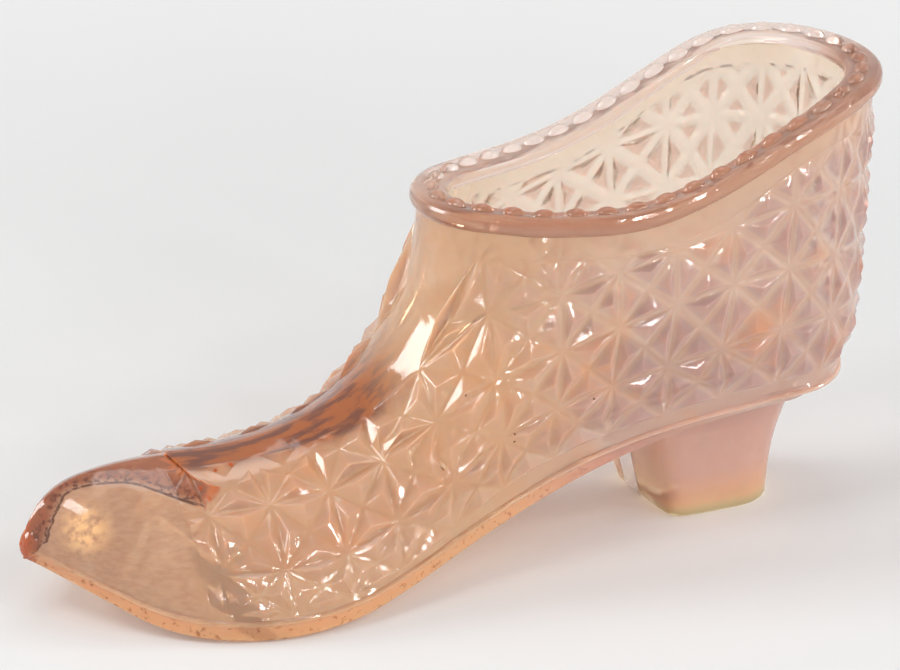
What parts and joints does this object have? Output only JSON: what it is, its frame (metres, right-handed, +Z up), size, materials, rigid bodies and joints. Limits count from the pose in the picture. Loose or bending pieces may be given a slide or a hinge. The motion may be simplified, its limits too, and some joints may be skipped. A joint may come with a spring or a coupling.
{
  "type": "glass slipper ornament",
  "caption": "Hollow pressed-glass slipper with a pointed toe, star-pressed sides, beaded collar rim and a solid block heel; stands on heel and ball of the sole.",
  "frame": {"origin": "bottom centre of the bounding box, on the table under the middle of the slipper", "axes": "+X along the slipper from toe to heel, +Y to the side that the picture doesn't show, +Z up"},
  "size_m": [0.1472, 0.0532, 0.0746],
  "materials": {
    "pressed_glass": "fire-polished pressed glass, peach with a milky opalescent cast"
  },
  "bodies": {
    "root": {"glass_slipper": "pressed_glass"}
  },
  "joints": []
}
